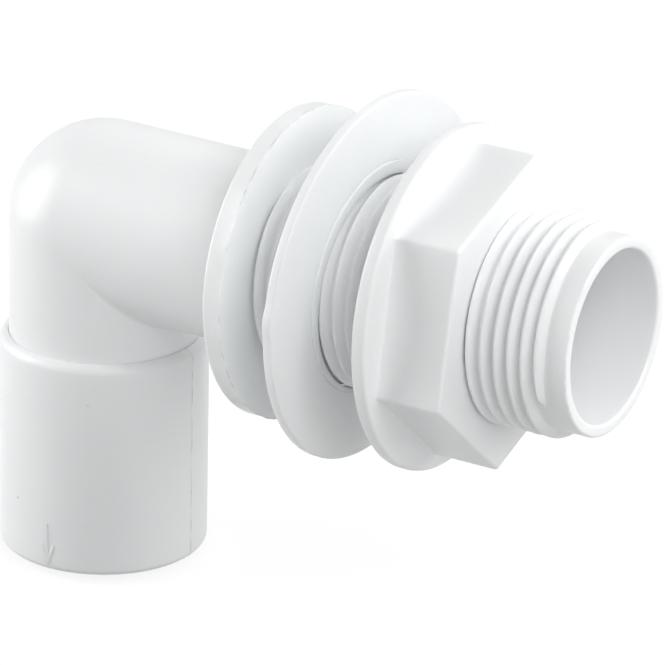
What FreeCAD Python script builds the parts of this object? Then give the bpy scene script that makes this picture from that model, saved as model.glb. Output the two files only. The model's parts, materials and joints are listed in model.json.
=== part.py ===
import FreeCAD, Part
import math
import os
import Sketcher

# Bent tank connector for a 21.5 mm overflow pipe, with a 3/4 inch parallel threaded tail.
# The frame's origin is the centre of the flange's sealing face. +X runs along the tail,
# away from the elbow, and +Z is up, so the pipe socket opens downwards.
# Lengths are in millimetres and angles in degrees.

SIZES = [
    ("pipe_diameter", 21.5, "outside diameter of the pipe that the socket takes"),
    ("pipe_clearance", 0.1, "room around the pipe in the socket, on the radius"),
    ("socket_wall", 2.25, "wall of the socket"),
    ("socket_length", 28.2, "outside length of the socket, from its mouth to its shoulder"),
    ("socket_depth", 20.0, "depth of the socket's bore, from the mouth to the pipe stop"),
    ("stop_ledge", 1.25, "width of the ledge that stops the pipe"),
    ("shoulder_step", 1.2, "step and quarter round from the socket to the tube"),
    ("mouth_round", 0.9, "rounding of the socket mouth's outer edge"),
    ("mouth_lead", 0.5, "rounding of the socket mouth's inner edge"),
    ("tube_showing", 3.3, "tube below the corner of the elbow, down to the shoulder"),
    ("arm_draft", 0.15, "how much slimmer the arm is than the tube, on the radius"),
    ("arm_showing", 14.7, "arm between the corner of the elbow and the flange"),
    ("flange_thickness", 2.6, "thickness of the flange"),
    ("flange_rim", 6.13, "width of the flange beyond the thread"),
    ("flange_round", 0.5, "rounding of the flange's back edge"),
    ("thread_diameter", 26.44, "outside diameter of the tail's thread"),
    ("thread_pitch", 1.814, "pitch of the thread, right-handed"),
    ("thread_depth", 1.12, "height of the thread's ridge"),
    ("thread_crest", 0.35, "width of the ridge at its crest"),
    ("thread_root", 0.3, "width of the groove at its root"),
    ("thread_gap", 2.2, "plain neck between the sealing face and the thread"),
    ("thread_turn", 186.0, "angle of the thread's last end, from +Y towards +Z"),
    ("tail_length", 42.5, "length of the tail, from the sealing face to the nose"),
    ("tail_wall", 1.5, "wall of the tail under the thread"),
    ("nose_length", 2.65, "plain nose beyond the thread"),
    ("nose_round", 0.35, "rounding of the nose's two edges"),
    ("washer_thickness", 1.3, "thickness of the washer"),
    ("washer_clearance", 0.88, "room around the thread in the washer, on the radius"),
    ("washer_width", 8.9, "width of the washer, from its hole to its rim"),
    ("washer_round", 0.25, "rounding of the washer's outer edges"),
    ("washer_gap", 8.96, "room between the sealing face and the washer"),
    ("washer_lift", 0.57, "how far the loose washer sits above the tail's axis"),
    ("washer_lean", 2.47, "lean of the loose washer"),
    ("washer_heading", -38.4, "direction of the axis of that lean, from +Y towards +Z"),
    ("nut_gap", 8.74, "room between the washer and the nut"),
    ("nut_length", 10.4, "length of the nut, flange and hexagon"),
    ("nut_flange_thickness", 1.9, "thickness of the nut's flange"),
    ("nut_flange_round", 0.5, "rounding of the nut's flange edges"),
    ("nut_wall", 3.31, "wall of the nut between its thread and a flat"),
    ("nut_lip", 1.81, "width of the nut's flange beyond the hexagon's corners"),
    ("nut_lead", 0.2, "countersink of the nut's thread beyond its groove"),
    ("hex_turn", 19.7, "angle of a corner of the hexagon, from +Y towards +Z"),
    ("hex_round", 0.7, "rounding of the hexagon's edges"),
    ("hex_foot", 0.5, "fillet between the hexagon and the nut's flange"),
    ("flank_clearance", 0.18, "room along the axis between the flanks of the two threads"),
    ("crest_clearance", 0.2, "room outside the tail's crest, on the radius"),
    ("root_clearance", 0.35, "room outside the tail's root, on the radius"),
    ("merge_depth", 0.2, "how deep a feature reaches into the one that carries it"),
    ("cut_margin", 0.1, "how far a cutter starts outside the material"),
]

HEX_SIDES = 6
FULL_TURN = 360
QUARTER_TURN = 90
RUN_OUT_TURNS = 1
NEAR = 0.001

# How a sketch counts its own origin and the points of a line or an arc.
SKETCH_ORIGIN = (-1, 1)
START_POINT = 1
END_POINT = 2
CENTRE_POINT = 3

# Radii and stations worked out from the driving sizes.
SOCKET_BORE = "(Sizes.pipe_diameter / 2 + Sizes.pipe_clearance)"
SOCKET = f"({SOCKET_BORE} + Sizes.socket_wall)"
TUBE = f"({SOCKET} - Sizes.shoulder_step)"
WATERWAY = f"({SOCKET_BORE} - Sizes.stop_ledge)"
ARM = f"({TUBE} - Sizes.arm_draft)"
ARM_WATERWAY = f"({WATERWAY} - Sizes.arm_draft)"
SHOULDER_Z = f"(-{TUBE} - Sizes.tube_showing)"
MOUTH_Z = f"({SHOULDER_Z} - Sizes.socket_length)"
STOP_Z = f"({MOUTH_Z} + Sizes.socket_depth)"
SOCKET_X = f"(-{TUBE} - Sizes.arm_showing - Sizes.flange_thickness)"
FLANGE = "(Sizes.thread_diameter / 2 + Sizes.flange_rim)"
CREST = "(Sizes.thread_diameter / 2)"
ROOT = f"({CREST} - Sizes.thread_depth)"
TAIL_BORE = f"({ROOT} - Sizes.tail_wall)"
RIDGE_HALF_FOOT = "((Sizes.thread_pitch - Sizes.thread_root) / 2)"
RIDGE_HALF_CREST = "(Sizes.thread_crest / 2)"
RIDGE_LAST_X = f"(Sizes.tail_length - Sizes.nose_length - {RIDGE_HALF_FOOT})"
RIDGE_RUN = f"({RIDGE_LAST_X} - Sizes.thread_gap - {RIDGE_HALF_FOOT})"
WASHER_HOLE = f"({CREST} + Sizes.washer_clearance)"
WASHER = f"({WASHER_HOLE} + Sizes.washer_width)"
NUT_BACK_X = "(Sizes.washer_gap + Sizes.washer_thickness + Sizes.nut_gap)"
NUT_STEP_X = f"({NUT_BACK_X} + Sizes.nut_flange_thickness)"
NUT_FRONT_X = f"({NUT_BACK_X} + Sizes.nut_length)"
NUT_BORE = f"({ROOT} + Sizes.root_clearance)"
NUT_GROOVE = f"({CREST} + Sizes.crest_clearance)"
NUT_MOUTH = f"({NUT_GROOVE} + Sizes.nut_lead)"
HEX_FLAT = f"({NUT_GROOVE} + Sizes.nut_wall)"
HEX_CORNER = f"({HEX_FLAT} / cos({FULL_TURN / HEX_SIDES / 2}))"
NUT_FLANGE = f"({HEX_CORNER} + Sizes.nut_lip)"

doc = FreeCAD.newDocument("tank_connector")
sheet = doc.addObject("Spreadsheet::Sheet", "Sizes")


def fill_sheet():
    """One row for each driving size: its value, under its alias, and what it measures."""
    for row, (alias, value, meaning) in enumerate(SIZES, start=1):
        sheet.set(f"A{row}", str(value))
        sheet.setAlias(f"A{row}", alias)
        sheet.set(f"B{row}", meaning)
    doc.recompute()


def value_of(formula):
    """The number that a formula of sheet sizes gives."""
    return float(sheet.evalExpression(formula))


def new_body(label):
    body = doc.addObject("PartDesign::Body", label)
    body.Label = label
    return body


def origin_plane(body, role):
    return next(item for item in body.Origin.OriginFeatures if item.Role == role)


def new_sketch(body, name, role, offset=None):
    """A sketch on one of the body's origin planes, moved by an offset formula if given."""
    sketch = body.newObject("Sketcher::SketchObject", name)
    sketch.AttachmentSupport = (origin_plane(body, role), [""])
    sketch.MapMode = "FlatFace"
    if offset:
        sketch.setExpression("AttachmentOffset", offset)
    return sketch


def hold(sketch, kind, geometry, vertex, formula):
    """Tie one coordinate of a sketch point to a formula of sheet sizes."""
    constraint = Sketcher.Constraint(kind, *SKETCH_ORIGIN, geometry, vertex, value_of(formula))
    index = sketch.addConstraint(constraint)
    sketch.setExpression(f"Constraints[{index}]", formula)


def draw_outline(sketch, corners):
    """Draw a closed outline through corners given as formulas (across, along).

    A corner with a third item is reached by a quarter round about that centre.
    """
    count = len(corners)
    spots = [FreeCAD.Vector(value_of(c[0]), value_of(c[1]), 0) for c in corners]
    edges = []
    for i, corner in enumerate(corners):
        start, end = spots[i - 1], spots[i]
        if len(corner) == 2:
            geometry = sketch.addGeometry(Part.LineSegment(start, end), False)
            edges.append((geometry, START_POINT, END_POINT))
            continue
        centre = FreeCAD.Vector(value_of(corner[2][0]), value_of(corner[2][1]), 0)
        first, last = start - centre, end - centre
        counter_clockwise = first.cross(last).z > 0
        ends = (first, last) if counter_clockwise else (last, first)
        angles = [math.atan2(v.y, v.x) for v in ends]
        if angles[1] < angles[0]:
            angles[1] += 2 * math.pi
        circle = Part.Circle(centre, FreeCAD.Vector(0, 0, 1), first.Length)
        geometry = sketch.addGeometry(Part.ArcOfCircle(circle, angles[0], angles[1]), False)
        points = (START_POINT, END_POINT) if counter_clockwise else (END_POINT, START_POINT)
        edges.append((geometry, *points))
    for i in range(count):
        geometry, start_vertex, _ = edges[i]
        previous, _, end_vertex = edges[i - 1]
        sketch.addConstraint(Sketcher.Constraint("Coincident", previous, end_vertex, geometry, start_vertex))
    for i, corner in enumerate(corners):
        geometry, _, end_vertex = edges[i]
        if len(corner) == 2:
            hold(sketch, "DistanceX", geometry, end_vertex, corner[0])
            hold(sketch, "DistanceY", geometry, end_vertex, corner[1])
            continue
        hold(sketch, "DistanceX", geometry, CENTRE_POINT, corner[2][0])
        hold(sketch, "DistanceY", geometry, CENTRE_POINT, corner[2][1])
        end_is_beside_centre = abs(value_of(corner[1]) - value_of(corner[2][1])) < NEAR
        if end_is_beside_centre:
            hold(sketch, "DistanceY", geometry, end_vertex, corner[1])
        else:
            hold(sketch, "DistanceX", geometry, end_vertex, corner[0])


def turn(body, kind, name, sketch, axis):
    """Revolve a sketch a full turn about one of its own axes, adding or cutting."""
    feature = body.newObject(kind, name)
    feature.Profile = sketch
    feature.ReferenceAxis = (sketch, [axis])
    feature.Angle = FULL_TURN
    doc.recompute()
    return feature


def wind(body, kind, name, sketch, height):
    """Carry a sketch back along the thread's helix, from the nose towards the flange."""
    feature = body.newObject(kind, name)
    feature.Profile = sketch
    feature.ReferenceAxis = (sketch, ["H_Axis"])
    feature.Mode = "pitch-height-angle"
    feature.setExpression("Pitch", "Sizes.thread_pitch")
    feature.setExpression("Height", height)
    feature.Reversed = True
    doc.recompute()
    return feature


def round_edges(body, name, wanted, radius):
    """Fillet those straight edges of the body's last feature whose middle and direction suit."""
    base = body.Tip
    chosen = []
    for number, edge in enumerate(base.Shape.Edges, start=1):
        ends = [vertex.Point for vertex in edge.Vertexes]
        if len(ends) != 2 or abs(edge.Length - ends[0].distanceToPoint(ends[1])) > NEAR:
            continue
        middle = edge.valueAt((edge.FirstParameter + edge.LastParameter) / 2)
        along = edge.tangentAt(edge.FirstParameter)
        if wanted(middle, along):
            chosen.append(f"Edge{number}")
    feature = body.newObject("PartDesign::Fillet", name)
    feature.Base = (base, chosen)
    feature.setExpression("Radius", radius)
    doc.recompute()
    return feature


def thread_plane():
    """Offset that turns the XZ plane about the tail's axis to where the thread ends."""
    return f"placement(vector(0; 0; 0); rotation(vector(1; 0; 0); Sizes.thread_turn - {QUARTER_TURN}))"


def elbow_body():
    """The one-piece moulding: pipe socket, tube, corner, arm, flange and threaded tail."""
    body = new_body("elbow_body")
    socket_axis = f"placement(vector({SOCKET_X}; 0; 0); rotation(vector(0; 0; 1); 0))"

    drop = new_sketch(body, "socket_and_tube_outline", "XZ_Plane", socket_axis)
    round_foot = f"({SOCKET} - Sizes.mouth_round)"
    round_top = f"({MOUTH_Z} + Sizes.mouth_round)"
    shoulder_foot = f"({SHOULDER_Z} - Sizes.shoulder_step)"
    draw_outline(drop, [
        ("0", MOUTH_Z),
        (round_foot, MOUTH_Z),
        (SOCKET, round_top, (round_foot, round_top)),
        (SOCKET, shoulder_foot),
        (TUBE, SHOULDER_Z, (TUBE, shoulder_foot)),
        (TUBE, "0"),
        ("0", TUBE, ("0", "0")),
    ])
    turn(body, "PartDesign::Revolution", "socket_and_tube", drop, "V_Axis")

    run = new_sketch(body, "arm_and_tail_outline", "XZ_Plane")
    flange_back = "(-Sizes.flange_thickness)"
    flange_shoulder = f"({FLANGE} - Sizes.flange_round)"
    flange_front_of_round = f"({flange_back} + Sizes.flange_round)"
    nose_flank = "(Sizes.tail_length - Sizes.nose_round)"
    nose_face = f"({ROOT} - Sizes.nose_round)"
    draw_outline(run, [
        (SOCKET_X, "0"),
        (SOCKET_X, ARM),
        (flange_back, ARM),
        (flange_back, flange_shoulder),
        (flange_front_of_round, FLANGE, (flange_front_of_round, flange_shoulder)),
        ("0", FLANGE),
        ("0", ROOT),
        (nose_flank, ROOT),
        ("Sizes.tail_length", nose_face, (nose_flank, nose_face)),
        ("Sizes.tail_length", "0"),
    ])
    turn(body, "PartDesign::Revolution", "arm_and_tail", run, "H_Axis")

    ridge = new_sketch(body, "thread_ridge", "XZ_Plane", thread_plane())
    ridge_back_foot = f"({RIDGE_LAST_X} - {RIDGE_HALF_FOOT})"
    ridge_front_foot = f"({RIDGE_LAST_X} + {RIDGE_HALF_FOOT})"
    ridge_seat = f"({ROOT} - Sizes.merge_depth)"
    draw_outline(ridge, [
        (ridge_back_foot, ridge_seat),
        (ridge_front_foot, ridge_seat),
        (ridge_front_foot, ROOT),
        (f"({RIDGE_LAST_X} + {RIDGE_HALF_CREST})", CREST),
        (f"({RIDGE_LAST_X} - {RIDGE_HALF_CREST})", CREST),
        (ridge_back_foot, ROOT),
    ])
    wind(body, "PartDesign::AdditiveHelix", "tail_thread", ridge, RIDGE_RUN)

    drop_bore = new_sketch(body, "socket_bore_outline", "XZ_Plane", socket_axis)
    lead_side = f"({SOCKET_BORE} + Sizes.mouth_lead)"
    lead_top = f"({MOUTH_Z} + Sizes.mouth_lead)"
    draw_outline(drop_bore, [
        ("0", MOUTH_Z),
        (lead_side, MOUTH_Z),
        (SOCKET_BORE, lead_top, (lead_side, lead_top)),
        (SOCKET_BORE, STOP_Z),
        (WATERWAY, STOP_Z),
        (WATERWAY, "0"),
        ("0", WATERWAY, ("0", "0")),
    ])
    turn(body, "PartDesign::Groove", "socket_bore", drop_bore, "V_Axis")

    tail_bore = new_sketch(body, "tail_bore_outline", "XZ_Plane")
    rim_side = f"({TAIL_BORE} + Sizes.nose_round)"
    draw_outline(tail_bore, [
        (SOCKET_X, "0"),
        (SOCKET_X, ARM_WATERWAY),
        (flange_back, ARM_WATERWAY),
        ("0", TAIL_BORE),
        (nose_flank, TAIL_BORE),
        ("Sizes.tail_length", rim_side, (nose_flank, rim_side)),
        ("Sizes.tail_length", "0"),
    ])
    turn(body, "PartDesign::Groove", "tail_bore", tail_bore, "H_Axis")
    return body


def sealing_washer():
    """The loose flat washer, a little lifted and leaning on the thread."""
    body = new_body("sealing_washer")
    outline = new_sketch(body, "washer_outline", "XZ_Plane")
    rim_flat = f"({WASHER} - Sizes.washer_round)"
    front_round = "(Sizes.washer_thickness - Sizes.washer_round)"
    draw_outline(outline, [
        ("0", WASHER_HOLE),
        ("0", rim_flat),
        ("Sizes.washer_round", WASHER, ("Sizes.washer_round", rim_flat)),
        (front_round, WASHER),
        ("Sizes.washer_thickness", rim_flat, (front_round, rim_flat)),
        ("Sizes.washer_thickness", WASHER_HOLE),
    ])
    turn(body, "PartDesign::Revolution", "washer_ring", outline, "H_Axis")
    place = "vector(Sizes.washer_gap; 0; Sizes.washer_lift)"
    lean_axis = "vector(0; cos(Sizes.washer_heading); sin(Sizes.washer_heading))"
    body.setExpression("Placement", f"placement({place}; rotation({lean_axis}; Sizes.washer_lean))")
    return body


def back_nut():
    """The flanged hexagon nut, in mesh with the tail's thread."""
    body = new_body("back_nut")

    disc = new_sketch(body, "nut_flange_outline", "XZ_Plane")
    rim_flat = f"({NUT_FLANGE} - Sizes.nut_flange_round)"
    back_round = f"({NUT_BACK_X} + Sizes.nut_flange_round)"
    front_round = f"({NUT_STEP_X} - Sizes.nut_flange_round)"
    draw_outline(disc, [
        (NUT_BACK_X, "0"),
        (NUT_BACK_X, rim_flat),
        (back_round, NUT_FLANGE, (back_round, rim_flat)),
        (front_round, NUT_FLANGE),
        (NUT_STEP_X, rim_flat, (front_round, rim_flat)),
        (NUT_STEP_X, "0"),
    ])
    turn(body, "PartDesign::Revolution", "nut_flange", disc, "H_Axis")

    pad_start = f"({NUT_STEP_X} - Sizes.merge_depth)"
    hexagon = new_sketch(
        body, "hexagon", "YZ_Plane", f"placement(vector(0; 0; {pad_start}); rotation(vector(0; 0; 1); 0))"
    )
    corner_angles = [f"(Sizes.hex_turn + {FULL_TURN / HEX_SIDES * i})" for i in range(HEX_SIDES)]
    draw_outline(hexagon, [
        (f"({HEX_CORNER} * cos{angle})", f"({HEX_CORNER} * sin{angle})") for angle in corner_angles
    ])
    pad = body.newObject("PartDesign::Pad", "hexagon_pad")
    pad.Profile = hexagon
    pad.setExpression("Length", f"{NUT_FRONT_X} - {pad_start}")
    doc.recompute()

    step = value_of(NUT_STEP_X)
    front = value_of(NUT_FRONT_X)
    round_edges(
        body,
        "hexagon_rounds",
        lambda middle, along: middle.x > step + NEAR and (abs(along.x) > 1 - NEAR or middle.x > front - NEAR),
        "Sizes.hex_round",
    )
    round_edges(
        body,
        "hexagon_foot",
        lambda middle, along: abs(middle.x - step) < NEAR and abs(along.x) < NEAR,
        "Sizes.hex_foot",
    )

    bore = new_sketch(body, "nut_bore_outline", "XZ_Plane")
    lead_depth = f"({NUT_MOUTH} - {NUT_BORE})"
    draw_outline(bore, [
        (NUT_BACK_X, "0"),
        (NUT_BACK_X, NUT_MOUTH),
        (f"({NUT_BACK_X} + {lead_depth})", NUT_BORE),
        (f"({NUT_FRONT_X} - {lead_depth})", NUT_BORE),
        (NUT_FRONT_X, NUT_MOUTH),
        (NUT_FRONT_X, "0"),
    ])
    turn(body, "PartDesign::Groove", "nut_bore", bore, "H_Axis")

    groove = new_sketch(body, "nut_groove", "XZ_Plane", thread_plane())
    turns_back = f"floor(({RIDGE_LAST_X} - {NUT_FRONT_X}) / Sizes.thread_pitch - {RUN_OUT_TURNS})"
    groove_x = f"({RIDGE_LAST_X} - {turns_back} * Sizes.thread_pitch)"
    groove_floor = f"({NUT_BORE} - Sizes.cut_margin)"
    flank_slope = f"(({RIDGE_HALF_FOOT} - {RIDGE_HALF_CREST}) / Sizes.thread_depth)"
    half_mouth = f"({RIDGE_HALF_FOOT} + Sizes.flank_clearance - {flank_slope} * ({groove_floor} - {ROOT}))"
    half_crest = f"({RIDGE_HALF_CREST} + Sizes.flank_clearance)"
    draw_outline(groove, [
        (f"({groove_x} - {half_mouth})", groove_floor),
        (f"({groove_x} + {half_mouth})", groove_floor),
        (f"({groove_x} + {half_crest})", NUT_GROOVE),
        (f"({groove_x} - {half_crest})", NUT_GROOVE),
    ])
    groove_run = f"(Sizes.nut_length + {2 * RUN_OUT_TURNS + 1} * Sizes.thread_pitch)"
    wind(body, "PartDesign::SubtractiveHelix", "nut_thread", groove, groove_run)
    return body


def check(bodies):
    """Stop if any object failed, or any piece isn't one valid solid."""
    for item in doc.Objects:
        if "Invalid" in item.State or "Error" in item.State:
            raise RuntimeError(f"{item.Label} failed: {item.State}")
    for body in bodies:
        shape = body.Shape
        if shape.isNull() or not shape.isValid() or len(shape.Solids) != 1:
            raise RuntimeError(f"{body.Label} isn't one valid solid")


fill_sheet()
pieces = [elbow_body(), sealing_washer(), back_nut()]
doc.recompute()
check(pieces)
os.makedirs("parts", exist_ok=True)
for piece in pieces:
    piece.Shape.exportStep(f"parts/{piece.Label}.step")
    print(piece.Label, "volume", round(piece.Shape.Volume, 2), "mm3")
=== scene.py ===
import json
import math

import bmesh
import bpy
import numpy as np
from mathutils import Matrix, Vector


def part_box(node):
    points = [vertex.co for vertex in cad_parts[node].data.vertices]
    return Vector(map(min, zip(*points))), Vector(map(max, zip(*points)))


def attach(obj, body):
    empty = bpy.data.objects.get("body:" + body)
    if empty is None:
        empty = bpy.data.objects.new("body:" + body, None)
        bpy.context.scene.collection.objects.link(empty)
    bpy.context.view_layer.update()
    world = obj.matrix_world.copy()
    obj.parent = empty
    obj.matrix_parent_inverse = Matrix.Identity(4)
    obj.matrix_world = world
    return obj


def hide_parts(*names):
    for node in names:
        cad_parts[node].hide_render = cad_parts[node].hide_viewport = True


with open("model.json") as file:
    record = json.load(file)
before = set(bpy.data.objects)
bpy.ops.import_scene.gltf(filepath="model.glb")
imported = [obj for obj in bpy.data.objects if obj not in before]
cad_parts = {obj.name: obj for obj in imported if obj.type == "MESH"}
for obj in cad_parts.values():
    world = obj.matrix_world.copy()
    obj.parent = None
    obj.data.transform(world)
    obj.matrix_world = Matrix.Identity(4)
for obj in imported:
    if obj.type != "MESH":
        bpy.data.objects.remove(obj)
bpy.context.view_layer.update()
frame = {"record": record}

# Bent tank connector: a one-piece moulded elbow with a threaded tail, a loose washer and a back nut.
# Lengths are millimetres until a mesh is made, and the frame is the part's own: the origin is the
# centre of the flange's sealing face, +X runs along the tail and the pipe socket opens towards -Z.
# Angles about the tail count from +Y towards +Z.

MM = 0.001
MOUNTS = {mount["name"]: mount for mount in frame["record"]["mounts"]}


def node_box(name):
    """Lowest and highest corner of a part of the frame, in millimetres."""
    return [np.array(corner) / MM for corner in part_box(name)]


ELBOW_LOW, ELBOW_HIGH = node_box("elbow_body")
NUT_LOW, NUT_HIGH = node_box("back_nut")

# The elbow's moulding. Its sizes are read from the frame where the frame has them.
SOCKET_X = MOUNTS["pipe_socket"]["pos_m"][0] / MM
SOCKET_BORE = MOUNTS["pipe_socket"]["dims"]["r_mm"]
TAIL_BORE = MOUNTS["tail_bore"]["dims"]["r_mm"]
MOUTH_Z = ELBOW_LOW[2]
SOCKET = SOCKET_X - ELBOW_LOW[0]
FLANGE = ELBOW_HIGH[1]
TAIL_LENGTH = ELBOW_HIGH[0]
SHOULDER_STEP = 1.2
FOOT_GROOVE = 0.16
FOOT_REACH = 0.02
SHOULDER_SWEEP = 82
TUBE = SOCKET - SHOULDER_STEP
SHOULDER_DROP = 3.3
SHOULDER_Z = -TUBE - SHOULDER_DROP
SOCKET_DEPTH = 20.0
STOP_Z = MOUTH_Z + SOCKET_DEPTH
STOP_LEDGE = 1.25
WATERWAY = SOCKET_BORE - STOP_LEDGE
MOUTH_ROUND = 0.9
MOUTH_LEAD = 0.5
ARM_TAPER = 0.2
CREASE_ROUND = 0.7
BORE_CREASE = 0.3
FLANGE_THICKNESS = 2.6
FLANGE_BACK_ROUND = 0.5
FLASH_HEIGHT = 0.12
FLASH_WIDTH = 0.22
FLASH_LEVEL = 0.35
FLASH_WAVES = ((23, 0.5, 0.4), (37, 0.35, 2.1), (61, 0.4, 1.3), (11, 0.4, 3.0))
NECK_ROUND = 0.2
NOSE_ROUND = 0.35
PARTING_HEIGHT = 0.07
PARTING_WIDTH = 0.14

# Where the flash was trimmed, and how strongly it shows there beside the flange's edge.
EDGE_REACH = 0.05
NOSE_EDGE_ALONG = 0.6
NOSE_EDGE_IN = 0.75
NOSE_WEAR = 0.3
SEAM_WEAR = 0.8

# The thread, right-handed.
PITCH = 1.814
CREST = 13.22
ROOT = CREST - 1.12
THREAD_START = 0.35
THREAD_END = TAIL_LENGTH - 2.45
RIDGE_FIRST_X = 0.6
RIDGE_LAST_X = TAIL_LENGTH - 3.28
RIDGE_LAST_ANGLE = math.radians(212.0)
RIDGE_FLAT = 0.05
RIDGE_FOOT = 0.43
RIDGE_FADE = math.radians(32.0)
RIDGE_TIP = 0.4
RIDGE_RISE = 2.5
ROWS_PER_PITCH = 14

# The nut.
NUT_BACK = NUT_LOW[0]
NUT_FRONT = NUT_HIGH[0]
NUT_FLANGE = NUT_HIGH[1]
NUT_STEP = NUT_BACK + 1.9
NUT_FLANGE_ROUND = 0.55
THREAD_PLAY = 0.018
NUT_BORE = ROOT + THREAD_PLAY
NUT_GROOVE = CREST + THREAD_PLAY
HEX_FLAT = CREST + 3.51
HEX_TURN = math.radians(19.7)
HEX_ROUND = 0.6
HEX_EDGE = 0.45
HEX_FOOT = 0.22
HEX_SIDES = 6
NUT_MOUTH_LOOP = 0.4
NUT_FACE_LOOP = 0.6

# The washer: it sits a little above the tail's axis and leans.
WASHER_THICKNESS = 1.3
WASHER_LIP = CREST + 0.09
WASHER_LIP_HEIGHT = 0.2
WASHER_STEP = CREST + 1.165
WASHER_STEP_ROUND = 0.1
WASHER = CREST + 9.78
WASHER_ROUND = 0.3
WASHER_BACK = 8.96
WASHER_LIFT = 0.57
WASHER_SEAT = 0.01
WASHER_STEP_ASIDE = -0.28
WASHER_STEP_ABOVE = 0.08
WASHER_LEAN = math.radians(2.47)
WASHER_HEADING = math.radians(-38.4)
WASHER_OVAL = 0.012
WASHER_WARP = 0.12
GATE_ANGLE = math.radians(177.0)
GATE_SPREAD = math.radians(4.0)
GATE_HEIGHT = 0.4
GATE_REACH_POWER = 12
GATE_EDGE_POWER = 4
WASHER_WAVES = ((2, 1.0, 0.8), (3, 0.5, 2.0))
WASHER_FACE_LOOP = 3.0
LIP_EDGE = 0.1
LIP_FACE_LOOP = 0.15
LIP_FOOT = 0.05
LIP_FOOT_LOOP = 0.2
STEP_STEPS = 4

# How fine the meshes are, and where their shading breaks.
ROUND_STEPS = 7
NEARLY_ZERO = 1e-9
MERGE_DISTANCE = 1e-7
SLIVER = 1e-8
SHARP_ANGLE = math.radians(38)


def bow(along, radius, size, first, last, steps=ROUND_STEPS):
    """A quarter round in a turned outline.

    The centre is (along, radius); the point at angle a is the centre plus size times
    (sin a, cos a), with a in degrees from the outward radius towards the axis direction.
    """
    angles = np.radians(np.linspace(first, last, steps))
    return np.column_stack([along + size * np.sin(angles), radius + size * np.cos(angles)])


def wave(angle, waves):
    """A closed ripple of an angle: the sum of sines given as (count, size, phase)."""
    return sum(size * np.sin(count * angle + phase) for count, size, phase in waves)


def smooth(value):
    """The S-shaped step that rises from 0 to 1 with level ends, 3v^2 - 2v^3."""
    value = np.clip(value, 0.0, 1.0)
    return value * value * (3.0 - 2.0 * value)


def lattice_mesh(name, grid, looped=True):
    """A closed skin from a grid of rings.

    Grid is (rings, points in a ring, 3) in millimetres. It is joined round each ring and, if looped, from
    the last ring to the first. Coincident points are merged, so a ring that shrinks to a point closes,
    and the faces point outwards.
    """
    rings, count, _ = grid.shape
    index = np.arange(rings * count).reshape(rings, count)
    ahead = np.roll(index, -1, axis=0)
    corners = [index, np.roll(index, -1, axis=1), np.roll(ahead, -1, axis=1), ahead]
    quads = np.stack(corners, axis=-1)
    quads = quads.reshape(-1, 4) if looped else quads[:-1].reshape(-1, 4)
    mesh = bpy.data.meshes.new(name)
    mesh.vertices.add(rings * count)
    mesh.vertices.foreach_set("co", (grid * MM).ravel())
    mesh.loops.add(quads.size)
    mesh.loops.foreach_set("vertex_index", quads.ravel())
    mesh.polygons.add(len(quads))
    mesh.polygons.foreach_set("loop_start", np.arange(0, quads.size, 4))
    mesh.update(calc_edges=True)
    shape = bmesh.new()
    shape.from_mesh(mesh)
    bmesh.ops.remove_doubles(shape, verts=shape.verts, dist=MERGE_DISTANCE)
    bmesh.ops.dissolve_degenerate(shape, edges=shape.edges, dist=SLIVER)
    bmesh.ops.recalc_face_normals(shape, faces=shape.faces)
    shape.to_mesh(mesh)
    shape.free()
    mesh.polygons.foreach_set("use_smooth", np.ones(len(mesh.polygons), dtype=bool))
    mesh.set_sharp_from_angle(angle=SHARP_ANGLE)
    return mesh


def mark_flash_edge(mesh):
    """Store how strongly trimmed flash shows at each point, as an attribute.

    It is 1 on the flange's front edge, less on the nose's rim and the socket's parting line, and 0 elsewhere.
    """
    points = np.empty(len(mesh.vertices) * 3)
    mesh.vertices.foreach_get("co", points)
    x, y, z = points.reshape(-1, 3).T / MM
    radius = np.hypot(y, z)
    flange_edge = (np.abs(x) < EDGE_REACH) & (radius > FLANGE - EDGE_REACH)
    nose_front = x > TAIL_LENGTH - NOSE_EDGE_ALONG * NOSE_ROUND
    nose_edge = nose_front & (radius > ROOT - NOSE_EDGE_IN * NOSE_ROUND)
    outside = np.hypot(x - SOCKET_X, y) > TUBE
    seam = (np.abs(y) < PARTING_WIDTH) & (z < SHOULDER_Z) & outside
    marks = mesh.attributes.new("flash_edge", "FLOAT", "POINT")
    wear = flange_edge + NOSE_WEAR * nose_edge + SEAM_WEAR * seam
    marks.data.foreach_set("value", wear.astype(np.float32))
    return mesh


def place(name, mesh, body, slot, material, *replaced):
    """Put a finished mesh in the scene, riding on its body and standing for its solids."""
    piece = bpy.data.objects.new(name, mesh)
    bpy.context.scene.collection.objects.link(piece)
    mesh.materials.append(material)
    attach(piece, body)
    if replaced:
        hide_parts(*replaced)
    return piece


# The elbow's rings: t is 0 on the outside of the bend, a quarter turn on the near side, -Y.
ELBOW_COLUMNS = 176
SEAM_OFFSETS = np.array([-0.3, -0.15, -0.075, 0.075, 0.15, 0.3]) / SOCKET
CORNER_STEPS = 28
BORE_CORNER_STEPS = 16
RING = np.linspace(0.0, 2 * math.pi, ELBOW_COLUMNS, endpoint=False)
RING = np.concatenate([RING, SEAM_OFFSETS % (2 * math.pi), SEAM_OFFSETS + math.pi])
RING = np.sort(RING)[None, :]
COS_RING = np.where(np.abs(np.cos(RING)) < NEARLY_ZERO, 0.0, np.cos(RING))
SIN_RING = np.sin(RING)

# Extra rings beside edges, which keep the shading of flat faces flat: how far they stand from the edge.
ARM_FOOT_LOOP = 0.6
FLASH_LOOP = 0.1
FACE_LOOP = 0.6
THREAD_LOOP = 0.1
TAPER_LOOP = 0.5
STOP_LOOP = 0.4
BEND_LOOP = 1.0
TUBE_SHARES = (0.0, 0.1, 0.6, 0.97, 1.0)
ARM_SHARES = (0.0, 0.03, 0.4, 0.9, 0.99, 1.0)
BORE_SHARES = (1.0, 0.5, 0.0)


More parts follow.
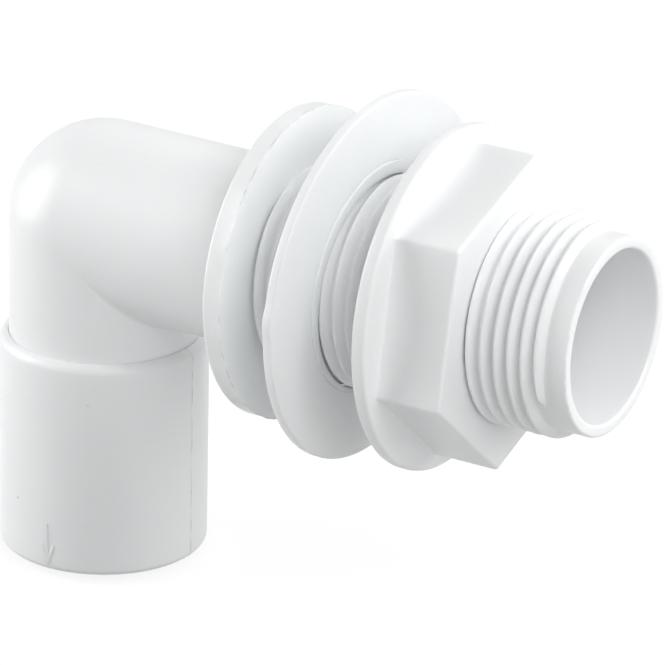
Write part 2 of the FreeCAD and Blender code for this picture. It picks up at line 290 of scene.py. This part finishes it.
def parting_line():
    """The mould's parting line: a bell-shaped ridge where the ring meets the plane y = 0."""
    return PARTING_HEIGHT * np.exp(-((SOCKET * SIN_RING / PARTING_WIDTH) ** 2))


def about_socket(outline, extra=0.0):
    """Rings about the socket's axis from an outline of (z, radius) rows."""
    z, radius = outline[:, :1], outline[:, 1:] + extra
    points = [SOCKET_X - radius * COS_RING, -radius * SIN_RING, z + 0 * SIN_RING]
    return np.stack(np.broadcast_arrays(*points), axis=-1)


def about_tail(outline, extra=0.0):
    """Rings about the tail's axis from an outline of (x, radius) rows."""
    x, radius = outline[:, :1], outline[:, 1:] + extra
    points = [x + 0 * SIN_RING, -radius * SIN_RING, radius * COS_RING]
    return np.stack(np.broadcast_arrays(*points), axis=-1)


def corner_depth(radius, crease):
    """How far below the tail's axis the tube's side ends: nothing on the outside of the bend.

    On the inside two equal tubes meet where |cos t| times the radius is reached, less a fillet
    that shrinks to nothing at the two points where the crease runs out.
    """
    inside = np.maximum(-COS_RING, 0.0)
    fillet = crease * inside
    return radius * inside, fillet


def corner(radius, crease, steps):
    """The bend: a ball on the outside and a filleted crease on the inside.

    At bend angle a the outside point is radius times (-cos t cos a, -sin t, cos t sin a); the inside
    point runs round the fillet's quarter circle from the tube's side to the arm's underside.
    """
    bend = np.linspace(0.0, math.pi / 2, steps)[:, None]
    depth, fillet = corner_depth(radius, crease)
    outside = np.maximum(COS_RING, 0.0)
    x = -radius * outside * np.cos(bend) + depth + fillet * (1 - np.cos(bend))
    z = radius * outside * np.sin(bend) - depth - fillet * (1 - np.sin(bend))
    y = -radius * SIN_RING + 0 * bend
    return np.stack([SOCKET_X + x, y, z], axis=-1)


def tube_up_to_corner(foot, radius, crease, shares, extra=0.0):
    """Rings of the upright tube, from the height foot up to where each side of it meets the bend."""
    depth, fillet = corner_depth(radius, crease)
    top = -depth - fillet
    z = foot + (top - foot) * np.array(shares)[:, None]
    outer = radius + extra * (1 - np.array(shares)[:, None])
    points = [SOCKET_X - outer * COS_RING, -outer * SIN_RING, z]
    return np.stack(np.broadcast_arrays(*points), axis=-1)


def arm_from_corner(end, radius, end_radius, crease, shares):
    """Rings of the level arm, from where each side of it leaves the bend to the station end."""
    depth, fillet = corner_depth(radius, crease)
    start = SOCKET_X + depth + fillet
    share = np.array(shares)[:, None]
    x = start + (end - start) * share
    size = radius + (end_radius - radius) * share
    points = [x, -size * SIN_RING, size * COS_RING]
    return np.stack(np.broadcast_arrays(*points), axis=-1)


def ridge_station(x, angle):
    """Where a point lies on the thread: its turns along the ridge from its last end, and pitches aside.

    The ridge's centre line climbs one pitch a turn and ends at the last angle, so the turns are negative.
    """
    turn = ((angle - RIDGE_LAST_ANGLE) / (2 * math.pi)) % 1.0 - 1.0
    rise = (x - RIDGE_LAST_X) / PITCH - turn
    ridge = np.minimum(np.round(rise), 0.0)
    return turn + ridge, np.abs(rise - ridge)


def ridge_height(x, angle):
    """Height of the tail's thread at a station and an angle, as a share of its depth.

    Across the ridge the height is level over the crest and falls in a smooth S to the root. Along it
    the ridge narrows and sinks to nothing over the last part of a turn at each end.
    """
    along, aside = ridge_station(x, angle)
    fade = RIDGE_FADE / (2 * math.pi)
    first = (RIDGE_FIRST_X - RIDGE_LAST_X) / PITCH
    share = np.clip(np.minimum(-along, along - first) / fade, 0.0, 1.0)
    foot = RIDGE_FOOT * (RIDGE_TIP + (1 - RIDGE_TIP) * share)
    return smooth(RIDGE_RISE * share) * smooth((foot - aside) / (RIDGE_FOOT - RIDGE_FLAT))


def tail_thread():
    """Rings of the threaded stretch: the root's radius plus the ridge's height."""
    rows = int((THREAD_END - THREAD_START) / PITCH * ROWS_PER_PITCH)
    x = np.linspace(THREAD_START, THREAD_END, rows)[:, None]
    height = ridge_height(x, RING + math.pi / 2)
    outline = np.column_stack([x, np.full_like(x, ROOT)])
    return about_tail(outline, (CREST - ROOT) * height)


def flange_flash():
    """The ragged flash left along the rim's front edge: a ripple of the ring's angle, cut off below."""
    ragged = wave(RING, FLASH_WAVES)
    return FLASH_HEIGHT * np.clip(FLASH_LEVEL + ragged, 0.0, 1.0)


def elbow_rings():
    """Every ring of the moulding: up its outside from the mouth to the nose, and back down its bore."""
    flange_back = -FLANGE_THICKNESS
    arm = TUBE - ARM_TAPER
    seam = parting_line()
    socket = np.vstack([
        bow(MOUTH_Z + MOUTH_ROUND, SOCKET - MOUTH_ROUND, MOUTH_ROUND, -90, 0),
        [[MOUTH_Z + 2 * MOUTH_ROUND, SOCKET]],
        [[SHOULDER_Z - 2 * SHOULDER_STEP, SOCKET]],
        bow(SHOULDER_Z - SHOULDER_STEP, TUBE, SHOULDER_STEP, 0, SHOULDER_SWEEP),
        [[SHOULDER_Z - FOOT_GROOVE, TUBE + FOOT_REACH]],
    ])
    flange = np.vstack([
        [[flange_back, arm + ARM_FOOT_LOOP]],
        [[flange_back, FLANGE - 2 * FLANGE_BACK_ROUND]],
        bow(flange_back + FLANGE_BACK_ROUND, FLANGE - FLANGE_BACK_ROUND, FLANGE_BACK_ROUND, -90, 0),
        [[-FLASH_WIDTH, FLANGE]],
    ])
    face = np.vstack([
        [[0.0, FLANGE - FLASH_LOOP]],
        [[0.0, FLANGE - FACE_LOOP]],
        [[0.0, ROOT + 3 * NECK_ROUND]],
        bow(NECK_ROUND, ROOT + NECK_ROUND, NECK_ROUND, 270, 180),
        [[THREAD_START - THREAD_LOOP, ROOT]],
    ])
    nose = np.vstack([
        [[THREAD_END + THREAD_LOOP, ROOT]],
        [[TAIL_LENGTH - 2 * NOSE_ROUND, ROOT]],
        bow(TAIL_LENGTH - NOSE_ROUND, ROOT - NOSE_ROUND, NOSE_ROUND, 0, 90),
        bow(TAIL_LENGTH - NOSE_ROUND, TAIL_BORE + NOSE_ROUND, NOSE_ROUND, 90, 180),
        [[TAIL_LENGTH - 2 * NOSE_ROUND, TAIL_BORE]],
        [[TAIL_LENGTH / 2, TAIL_BORE]],
        [[TAPER_LOOP, TAIL_BORE]],
        [[0.0, TAIL_BORE]],
        [[flange_back, WATERWAY]],
        [[flange_back - TAPER_LOOP, WATERWAY]],
    ])
    bore = np.vstack([
        [[STOP_Z + STOP_LOOP, WATERWAY]],
        [[STOP_Z, WATERWAY]],
        [[STOP_Z, SOCKET_BORE]],
        [[STOP_Z - STOP_LOOP, SOCKET_BORE]],
        [[MOUTH_Z + 2 * MOUTH_LEAD, SOCKET_BORE]],
        bow(MOUTH_Z + MOUTH_LEAD, SOCKET_BORE + MOUTH_LEAD, MOUTH_LEAD, 180, 270),
    ])
    flash = about_tail(np.array([[0.0, FLANGE]]), flange_flash())
    return np.concatenate([
        about_socket(socket, seam),
        tube_up_to_corner(SHOULDER_Z, TUBE, CREASE_ROUND, TUBE_SHARES, seam),
        corner(TUBE, CREASE_ROUND, CORNER_STEPS)[1:-1],
        arm_from_corner(flange_back, TUBE, arm, CREASE_ROUND, ARM_SHARES),
        about_tail(flange),
        flash,
        about_tail(face),
        tail_thread(),
        about_tail(nose),
        arm_from_corner(flange_back - BEND_LOOP, WATERWAY, WATERWAY, BORE_CREASE, BORE_SHARES),
        corner(WATERWAY, BORE_CREASE, BORE_CORNER_STEPS)[-2:0:-1],
        tube_up_to_corner(STOP_Z + BEND_LOOP, WATERWAY, BORE_CREASE, BORE_SHARES),
        about_socket(bore),
    ])


# The flow arrow moulded on the socket's near side, as strokes of (angle t, z) rows.
STROKE_WIDTH = 0.42
STROKE_HEIGHT = 0.13
STROKE_COLUMNS = 10
STROKE_STEPS = 24
STROKE_END_POWER = 12
ARROW_STROKES = {
    "arrow_stem": ((90.6, -36.9), (91.1, -39.0), (91.0, -42.3)),
    "arrow_left_barb": ((87.6, -39.7), (89.0, -41.2), (90.6, -42.4)),
    "arrow_right_barb": ((95.4, -39.7), (93.6, -41.1), (91.2, -42.5)),
}


def stroke_rings(rows):
    """A raised stroke along a path on the socket: half-oval rings across the path, shrinking at its ends.

    The path is a quadratic Bezier curve of (t, z). A ring's point at angle b stands STROKE_HEIGHT sin b
    off the socket and half the stroke's width times cos b to the side.
    """
    first, middle, last = (np.array([math.radians(t) * SOCKET, z]) for t, z in rows)
    share = np.linspace(0.0, 1.0, STROKE_STEPS)[:, None]
    path = first * (1 - share) ** 2 + 2 * middle * share * (1 - share) + last * share ** 2
    way = np.gradient(path, axis=0)
    way = way / np.linalg.norm(way, axis=1, keepdims=True)
    swell = np.sqrt(np.clip(1 - np.abs(2 * share - 1) ** STROKE_END_POWER, 0.0, 1.0))
    turn = np.linspace(0.0, 2 * math.pi, STROKE_COLUMNS, endpoint=False)[None, :]
    aside = STROKE_WIDTH / 2 * swell * np.cos(turn)
    radius = SOCKET + STROKE_HEIGHT * swell * np.sin(turn)
    t = (path[:, :1] - way[:, 1:] * aside) / SOCKET
    z = path[:, 1:] + way[:, :1] * aside
    return np.stack([SOCKET_X - radius * np.cos(t), -radius * np.sin(t), z], axis=-1)


# The nut's rings follow a hexagon with round corners, so that each column keeps its place on it.
CORNER_COLUMNS = 7
FLAT_COLUMNS = 22
CORNER_SPREAD = math.pi / HEX_SIDES


def hexagon_ring(flat, corner_radius):
    """A hexagon of the given half width across flats, as (y, z) columns.

    Each corner is an arc about a point on the corner's ray, and each side is the straight line
    between two arcs, cut into equal steps.
    """
    corners = HEX_TURN + np.arange(HEX_SIDES) * 2 * CORNER_SPREAD
    centre = (flat - corner_radius) / math.cos(CORNER_SPREAD)
    sweep = np.linspace(-CORNER_SPREAD, CORNER_SPREAD, CORNER_COLUMNS)
    normal = corners[:, None] + sweep[None, :]
    arcs = np.stack([
        centre * np.cos(corners)[:, None] + corner_radius * np.cos(normal),
        centre * np.sin(corners)[:, None] + corner_radius * np.sin(normal),
    ], axis=-1)
    leave, arrive = arcs[:, -1:, :], np.roll(arcs, -1, axis=0)[:, :1, :]
    share = np.linspace(0.0, 1.0, FLAT_COLUMNS + 2)[None, 1:-1, None]
    sides = leave + (arrive - leave) * share
    return np.concatenate([arcs, sides], axis=1).reshape(-1, 2)


HEX_OUTLINE = hexagon_ring(HEX_FLAT, HEX_ROUND)
HEX_ANGLE = np.arctan2(HEX_OUTLINE[:, 1], HEX_OUTLINE[:, 0])


def nut_ring(x, outline):
    """One ring of the nut: an outline of (y, z) columns at a station x."""
    return np.column_stack([np.full(len(outline), x), outline])


def nut_circle(x, radius):
    """One round ring of the nut, with its columns on the hexagon's rays."""
    return nut_ring(x, np.column_stack([radius * np.cos(HEX_ANGLE), radius * np.sin(HEX_ANGLE)]))


def nut_rings():
    """Every ring of the nut: out over its back, round its flange, along the hexagon and down its thread."""
    disc = np.vstack([
        [[NUT_BACK, NUT_GROOVE + NUT_MOUTH_LOOP]],
        [[NUT_BACK, NUT_FLANGE - 2 * NUT_FLANGE_ROUND]],
        bow(NUT_BACK + NUT_FLANGE_ROUND, NUT_FLANGE - NUT_FLANGE_ROUND, NUT_FLANGE_ROUND, -90, 0),
        bow(NUT_STEP - NUT_FLANGE_ROUND, NUT_FLANGE - NUT_FLANGE_ROUND, NUT_FLANGE_ROUND, 0, 90),
    ])
    quarter = np.radians(np.linspace(0, 90, ROUND_STEPS))
    foot_gap = HEX_FOOT * (1 - np.sin(quarter))
    foot_x = NUT_STEP + HEX_FOOT * (1 - np.cos(quarter))
    edge_gap = HEX_EDGE * (1 - np.cos(quarter))
    edge_x = NUT_FRONT - HEX_EDGE * (1 - np.sin(quarter))
    rings = [nut_circle(x, radius) for x, radius in disc]
    rings += [
        nut_ring(x, hexagon_ring(HEX_FLAT + gap, HEX_ROUND + gap)) for x, gap in zip(foot_x, foot_gap)
    ]
    rings += [nut_ring(x, HEX_OUTLINE) for x in (NUT_STEP + 2 * HEX_FOOT, NUT_FRONT - 2 * HEX_EDGE)]
    rings += [
        nut_ring(x, hexagon_ring(HEX_FLAT - gap, HEX_ROUND - gap)) for x, gap in zip(edge_x, edge_gap)
    ]
    face = (HEX_FLAT - HEX_EDGE - NUT_FACE_LOOP, NUT_GROOVE + NUT_MOUTH_LOOP)
    rings += [nut_circle(NUT_FRONT, radius) for radius in face]
    rings = np.array(rings)

    rows = int((NUT_FRONT - NUT_BACK) / PITCH * ROWS_PER_PITCH)
    x = np.linspace(NUT_FRONT, NUT_BACK, rows)[:, None]
    aside = ridge_station(x, HEX_ANGLE[None, :])[1]
    foot = RIDGE_FOOT + THREAD_PLAY / PITCH
    radius = NUT_BORE + (NUT_GROOVE - NUT_BORE) * smooth((foot - aside) / (RIDGE_FOOT - RIDGE_FLAT))
    angle = HEX_ANGLE[None, :]
    points = [x + 0 * angle, radius * np.cos(angle), radius * np.sin(angle)]
    bore = np.stack(np.broadcast_arrays(*points), axis=-1)
    return np.concatenate([rings, bore])


WASHER_COLUMNS = 240


def washer_rings():
    """Every ring of the washer: out over its back, round its rim, in over its front and down to its lip.

    It is a flat ring with a slightly raised lip round its hole. The rim is drawn slightly oval and bowed
    by two waves round it, with the stub of the mould's gate on it. The whole is leant about an axis in its
    plane. The rim is lifted above the tail's axis, and the lip hardly at all, so it stays round the thread.
    """
    lip_front = WASHER_THICKNESS + WASHER_LIP_HEIGHT
    outline = np.vstack([
        [[LIP_EDGE, WASHER_LIP]],
        [[0.0, WASHER_LIP + LIP_EDGE]],
        [[0.0, WASHER_STEP]],
        [[0.0, WASHER_STEP + WASHER_FACE_LOOP]],
        [[0.0, WASHER - WASHER_FACE_LOOP]],
        [[0.0, WASHER - 2 * WASHER_ROUND]],
        bow(WASHER_ROUND, WASHER - WASHER_ROUND, WASHER_ROUND, -90, 0),
        bow(WASHER_THICKNESS - WASHER_ROUND, WASHER - WASHER_ROUND, WASHER_ROUND, 0, 90),
        [[WASHER_THICKNESS, WASHER - 2 * WASHER_ROUND]],
        [[WASHER_THICKNESS, WASHER - WASHER_FACE_LOOP]],
        [[WASHER_THICKNESS, WASHER_STEP + WASHER_FACE_LOOP]],
        [[WASHER_THICKNESS, WASHER_STEP + 2 * WASHER_STEP_ROUND]],
        bow(
            WASHER_THICKNESS - WASHER_STEP_ROUND, WASHER_STEP + WASHER_STEP_ROUND, WASHER_STEP_ROUND,
            90, 180, STEP_STEPS,
        ),
        [[lip_front, WASHER_STEP - LIP_FOOT]],
        [[lip_front, WASHER_STEP - LIP_FOOT_LOOP]],
        [[lip_front, WASHER_LIP + LIP_FACE_LOOP]],
        [[lip_front - LIP_EDGE, WASHER_LIP]],
    ])
    angle = np.linspace(0.0, 2 * math.pi, WASHER_COLUMNS, endpoint=False)[None, :]
    x, radius = outline[:, :1], outline[:, 1:]
    outwards = np.clip((radius - WASHER_STEP) / (WASHER - WASHER_STEP), 0.0, 1.0)
    inwards = np.clip((WASHER_STEP - radius) / (WASHER_STEP - WASHER_LIP), 0.0, 1.0)
    bowed = WASHER_WARP * outwards ** 2 * wave(angle, WASHER_WAVES)
    stub = np.exp(-(((angle - GATE_ANGLE) / GATE_SPREAD) ** GATE_EDGE_POWER))
    gate = GATE_HEIGHT * outwards ** GATE_REACH_POWER * stub
    aside = WASHER_STEP_ASIDE * (1 - outwards) * (1 - inwards)
    above = WASHER_STEP_ABOVE * (1 - outwards) * (1 - inwards) - (WASHER_LIFT - WASHER_SEAT) * inwards
    y = (radius + gate) * np.cos(angle) * (1 + WASHER_OVAL * outwards) + aside
    z = (radius + gate) * np.sin(angle) * (1 - WASHER_OVAL * outwards) + above
    points = np.stack(np.broadcast_arrays(x + bowed, y, z), axis=-1)
    return points @ washer_lean().T + np.array([WASHER_BACK, 0.0, WASHER_LIFT])


def washer_lean():
    """The turn of the washer about its leaning axis, by Rodrigues' formula."""
    axis = np.array([0.0, math.cos(WASHER_HEADING), math.sin(WASHER_HEADING)])
    cross = np.array([
        [0.0, -axis[2], axis[1]],
        [axis[2], 0.0, -axis[0]],
        [-axis[1], axis[0], 0.0],
    ])
    return np.eye(3) + math.sin(WASHER_LEAN) * cross + (1 - math.cos(WASHER_LEAN)) * (cross @ cross)


# Materials: colours as sRGB, and the sizes of patterns in millimetres.
ABS_SHADES = ("#f5f7f8", "#f9fafa")
ABS_DIRT = "#8f9496"
ABS_MOTTLE = 9.0
ABS_WEAR = 2.2
ABS_WEAR_RANGE = (0.42, 0.66)
ABS_WEAR_MOST = 0.6
ABS_SPECKS = 7.0
ABS_SPECK_RANGE = (0.03, 0.018)
ABS_SPECK_MOST = 0.55
ABS_GRAIN = 0.5
ABS_GRAIN_STRENGTH = 0.06
ABS_ROUGHNESS = (0.34, 0.42)
ABS_IOR = 1.54
ABS_DEPTH = 0.9
POLYETHYLENE_SHADES = ("#f3f6f7", "#f9fbfb")
POLYETHYLENE_CLOUDS = 6.0
POLYETHYLENE_GRAIN = 0.35
POLYETHYLENE_GRAIN_STRENGTH = 0.1
POLYETHYLENE_ROUGHNESS = 0.45
POLYETHYLENE_IOR = 1.51
POLYETHYLENE_DEPTH = 3.0
GRAIN_HEIGHT = 0.1


def linear(hex_colour):
    """An sRGB hex colour as linear red, green, blue and full alpha."""
    parts = [int(hex_colour[i:i + 2], 16) / 255 for i in (1, 3, 5)]
    return [c / 12.92 if c <= 0.04045 else ((c + 0.055) / 1.055) ** 2.4 for c in parts] + [1.0]


def add(tree, kind, links=None, **settings):
    """Add one node: settings are its own properties, and links fills its inputs by name.

    An input takes an output socket, which is linked, or a plain value.
    """
    node = tree.nodes.new(kind)
    for key, value in settings.items():
        setattr(node, key, value)
    for name, value in (links or {}).items():
        socket = node.inputs[name]
        if isinstance(value, bpy.types.NodeSocket):
            tree.links.new(value, socket)
        else:
            socket.default_value = value
    return node


def new_material(name):
    """An empty node material."""
    material = bpy.data.materials.new(name)
    material.use_nodes = True
    material.node_tree.nodes.clear()
    return material


def noise(tree, where, size, detail):
    """The value of a noise pattern whose features are about size millimetres across."""
    links = {"Vector": where, "Scale": 1 / (size * MM), "Detail": detail}
    return add(tree, "ShaderNodeTexNoise", links).outputs["Fac"]


def blend(tree, factor, first, second):
    """A colour between two, each a colour socket or an sRGB hex."""
    mix = add(tree, "ShaderNodeMix", {"Factor": factor}, data_type="RGBA")
    for slot, colour in ((6, first), (7, second)):
        if isinstance(colour, str):
            mix.inputs[slot].default_value = linear(colour)
        else:
            tree.links.new(colour, mix.inputs[slot])
    return mix.outputs[2]


def combine(tree, operation, first, second):
    """The result of one of Blender's maths operations on two values."""
    return add(tree, "ShaderNodeMath", {0: first, 1: second}, operation=operation).outputs[0]


def fine_grain(tree, where, size, strength):
    """The normal of a moulded skin's fine grain."""
    height = noise(tree, where, size, 2.0)
    links = {"Height": height, "Strength": strength, "Distance": GRAIN_HEIGHT * MM}
    return add(tree, "ShaderNodeBump", links).outputs["Normal"]


def moulded_white_abs():
    """Injection-moulded white ABS: a satin skin, faintly mottled, with worn flash and a few dark specks."""
    material = new_material("moulded_white_abs")
    tree = material.node_tree
    place_on_piece = add(tree, "ShaderNodeTexCoord").outputs["Object"]
    mottle = noise(tree, place_on_piece, ABS_MOTTLE, 3.0)
    tint = blend(tree, mottle, *ABS_SHADES)
    edge = add(tree, "ShaderNodeAttribute", attribute_name="flash_edge").outputs["Fac"]
    ragged = noise(tree, place_on_piece, ABS_WEAR, 5.0)
    worn = add(tree, "ShaderNodeMapRange", {
        "Value": ragged,
        "From Min": ABS_WEAR_RANGE[0],
        "From Max": ABS_WEAR_RANGE[1],
        "To Max": ABS_WEAR_MOST,
    })
    worn = combine(tree, "MULTIPLY", edge, worn.outputs["Result"])
    cells = add(tree, "ShaderNodeTexVoronoi", {"Vector": place_on_piece, "Scale": 1 / (ABS_SPECKS * MM)})
    speck = add(tree, "ShaderNodeMapRange", {
        "Value": cells.outputs["Distance"],
        "From Min": ABS_SPECK_RANGE[0],
        "From Max": ABS_SPECK_RANGE[1],
        "To Max": ABS_SPECK_MOST,
    })
    dirt = combine(tree, "MAXIMUM", worn, speck.outputs["Result"])
    tint = blend(tree, dirt, tint, ABS_DIRT)
    sheen = add(tree, "ShaderNodeMapRange", {
        "Value": mottle, "To Min": ABS_ROUGHNESS[0], "To Max": ABS_ROUGHNESS[1],
    })
    skin = add(tree, "ShaderNodeBsdfPrincipled", {
        "Base Color": tint,
        "Roughness": sheen.outputs["Result"],
        "Normal": fine_grain(tree, place_on_piece, ABS_GRAIN, ABS_GRAIN_STRENGTH),
        "IOR": ABS_IOR,
        "Subsurface Weight": 0.18,
        "Subsurface Radius": (1.0, 0.95, 0.9),
        "Subsurface Scale": ABS_DEPTH * MM,
    })
    add(tree, "ShaderNodeOutputMaterial", {"Surface": skin.outputs["BSDF"]})
    return material


def milky_polyethylene():
    """Soft low-density polyethylene: waxy, slightly see-through, so light from behind glows in it."""
    material = new_material("milky_polyethylene")
    tree = material.node_tree
    place_on_piece = add(tree, "ShaderNodeTexCoord").outputs["Object"]
    cloud = noise(tree, place_on_piece, POLYETHYLENE_CLOUDS, 4.0)
    skin = add(tree, "ShaderNodeBsdfPrincipled", {
        "Base Color": blend(tree, cloud, *POLYETHYLENE_SHADES),
        "Roughness": POLYETHYLENE_ROUGHNESS,
        "Normal": fine_grain(tree, place_on_piece, POLYETHYLENE_GRAIN, POLYETHYLENE_GRAIN_STRENGTH),
        "IOR": POLYETHYLENE_IOR,
        "Subsurface Weight": 0.4,
        "Subsurface Radius": (1.0, 1.0, 1.0),
        "Subsurface Scale": POLYETHYLENE_DEPTH * MM,
    })
    add(tree, "ShaderNodeOutputMaterial", {"Surface": skin.outputs["BSDF"]})
    return material


ABS = moulded_white_abs()
POLYETHYLENE = milky_polyethylene()
elbow = mark_flash_edge(lattice_mesh("elbow_moulding", elbow_rings()))
place("elbow_moulding", elbow, "elbow", "white_abs", ABS, "elbow_body")
for stroke, rows in ARROW_STROKES.items():
    place(stroke, lattice_mesh(stroke, stroke_rings(rows), looped=False), "elbow", "white_abs", ABS)
place("nut_moulding", lattice_mesh("nut_moulding", nut_rings()), "nut", "white_abs", ABS, "back_nut")
place(
    "washer_ring", lattice_mesh("washer_ring", washer_rings()), "washer", "milky_polyethylene", POLYETHYLENE,
    "sealing_washer",
)


# The studio, in metres.
FLOOR_HALF = 3.0
FLOOR_DROP = 1.0 * MM
FLOOR_PAINT = "#bcbcbc"
FLOOR_GLOW = 1.43
FLOOR_GLOW_SHARE = 0.6
WORLD_TINT = "#f2f6fb"
WORLD_LIGHT = 0.04
WHITE = (1.0, 1.0, 1.0, 1.0)


def seen_directly(tree):
    """1 on rays that show the background itself: the camera's, a reflection's and those through the part."""
    ray = add(tree, "ShaderNodeLightPath").outputs
    seen = combine(tree, "MAXIMUM", ray["Is Camera Ray"], ray["Is Glossy Ray"])
    return combine(tree, "MAXIMUM", seen, ray["Is Transmission Ray"])


def floor():
    """A plain pale floor below the socket's mouth; the camera sees it near white, with a faint shadow."""
    mesh = bpy.data.meshes.new("studio_floor")
    size, z = FLOOR_HALF, MOUTH_Z * MM - FLOOR_DROP
    corners = [(-size, -size, z), (size, -size, z), (size, size, z), (-size, size, z)]
    mesh.from_pydata(corners, [], [(0, 1, 2, 3)])
    material = new_material("pale_floor")
    tree = material.node_tree
    paint = add(tree, "ShaderNodeBsdfDiffuse", {"Color": linear(FLOOR_PAINT)})
    white = add(tree, "ShaderNodeEmission", {"Color": WHITE, "Strength": FLOOR_GLOW})
    share = combine(tree, "MULTIPLY", seen_directly(tree), FLOOR_GLOW_SHARE)
    mixed = add(tree, "ShaderNodeMixShader", {0: share, 1: paint.outputs[0], 2: white.outputs[0]})
    add(tree, "ShaderNodeOutputMaterial", {"Surface": mixed.outputs[0]})
    mesh.materials.append(material)
    piece = bpy.data.objects.new("studio_floor", mesh)
    bpy.context.scene.collection.objects.link(piece)


def studio_world():
    """Soft light from all round; the camera and reflections see white."""
    world = bpy.data.worlds.new("studio_world")
    world.use_nodes = True
    tree = world.node_tree
    tree.nodes.clear()
    light = add(tree, "ShaderNodeBackground", {"Color": linear(WORLD_TINT), "Strength": WORLD_LIGHT})
    white = add(tree, "ShaderNodeBackground", {"Color": WHITE, "Strength": 1.0})
    mixed = add(
        tree, "ShaderNodeMixShader", {0: seen_directly(tree), 1: light.outputs[0], 2: white.outputs[0]}
    )
    add(tree, "ShaderNodeOutputWorld", {"Surface": mixed.outputs[0]})
    bpy.context.scene.world = world


# Lamps: azimuth and elevation in degrees, width and height in metres, power in watts, distance in metres.
LAMP_AIM = np.array([0.0, 0.0, -0.005])
FAR, NEAR = 0.7, 0.3
LAMPS = {
    "left_softbox": (-60, 12, 0.3, 0.8, 2.8, FAR),
    "near_left_strip": (-75, 3, 0.12, 0.3, 0.46, NEAR),
    "right_softbox": (97, 45, 0.6, 0.4, 1.35, FAR),
    "right_top_softbox": (95, 70, 0.6, 0.4, 0.65, FAR),
    "right_front_softbox": (52, 32, 0.4, 0.4, 1.85, FAR),
    "right_back_softbox": (130, 12, 0.4, 0.6, 2.1, FAR),
    "back_softbox": (180, 45, 0.8, 0.4, 1.15, FAR),
    "front_softbox": (25, 5, 0.4, 0.4, 0.35, FAR),
}


def direction(azimuth, elevation):
    """The unit vector from the part towards a viewer: azimuth 0 is -Y, and a quarter turn is +X."""
    level = math.cos(elevation)
    return np.array([math.sin(azimuth) * level, -math.cos(azimuth) * level, math.sin(elevation)])


def softbox(name, azimuth, elevation, width, height, power, distance):
    """An oblong lamp facing the middle of the part, placed by its direction as seen from the part."""
    back = direction(math.radians(azimuth), math.radians(elevation))
    lamp = bpy.data.lights.new(name, "AREA")
    lamp.shape = "RECTANGLE"
    lamp.size = width
    lamp.size_y = height
    lamp.energy = power
    piece = bpy.data.objects.new(name, lamp)
    bpy.context.scene.collection.objects.link(piece)
    piece.matrix_world = looking_back(LAMP_AIM + back * distance, back)


def looking_back(at, back, roll=0.0):
    """A matrix at a point whose Z runs along back, with X level before the roll."""
    z = Vector(back).normalized()
    x = Vector((0, 0, 1)).cross(z)
    x = x.normalized() if x.length > NEARLY_ZERO else Vector((1, 0, 0))
    y = z.cross(x)
    c, s = math.cos(roll), math.sin(roll)
    x, y = c * x + s * y, -s * x + c * y
    turn = Matrix((x, y, z)).transposed().to_4x4()
    return Matrix.Translation(Vector(at)) @ turn


# The camera: the photograph's viewing angle, worked out for a square picture.
PICTURE = 665
CAMERA_AZIMUTH = math.radians(30.94)
CAMERA_ELEVATION = math.radians(22.14)
CAMERA_ROLL = math.radians(1.27)
CAMERA_DISTANCE = 625.0
PIXELS_PER_MM = 8.09
ELBOW_CORNER_PIXEL = (104.97, 213.73)
SENSOR = 36.0
FARTHEST = 20.0


def camera():
    """A long lens aimed so that the elbow's corner falls on its pixel of the picture."""
    back = direction(CAMERA_AZIMUTH, CAMERA_ELEVATION)
    turn = np.array(looking_back((0, 0, 0), back, CAMERA_ROLL))
    right, up = turn[:3, 0], turn[:3, 1]
    middle = PICTURE / 2
    aside = (middle - ELBOW_CORNER_PIXEL[0]) / PIXELS_PER_MM
    above = (ELBOW_CORNER_PIXEL[1] - middle) / PIXELS_PER_MM
    at = np.array([SOCKET_X, 0.0, 0.0]) + right * aside + up * above + back * CAMERA_DISTANCE
    lens = bpy.data.cameras.new("photo_camera")
    lens.sensor_fit = "HORIZONTAL"
    lens.sensor_width = SENSOR
    lens.lens = PIXELS_PER_MM * CAMERA_DISTANCE * SENSOR / PICTURE
    lens.clip_end = FARTHEST
    piece = bpy.data.objects.new("photo_camera", lens)
    bpy.context.scene.collection.objects.link(piece)
    piece.matrix_world = looking_back(at * MM, back, CAMERA_ROLL)
    bpy.context.scene.camera = piece


floor()
studio_world()
for lamp_name, settings in LAMPS.items():
    softbox(lamp_name, *settings)
camera()
bpy.context.scene.view_settings.view_transform = "Standard"
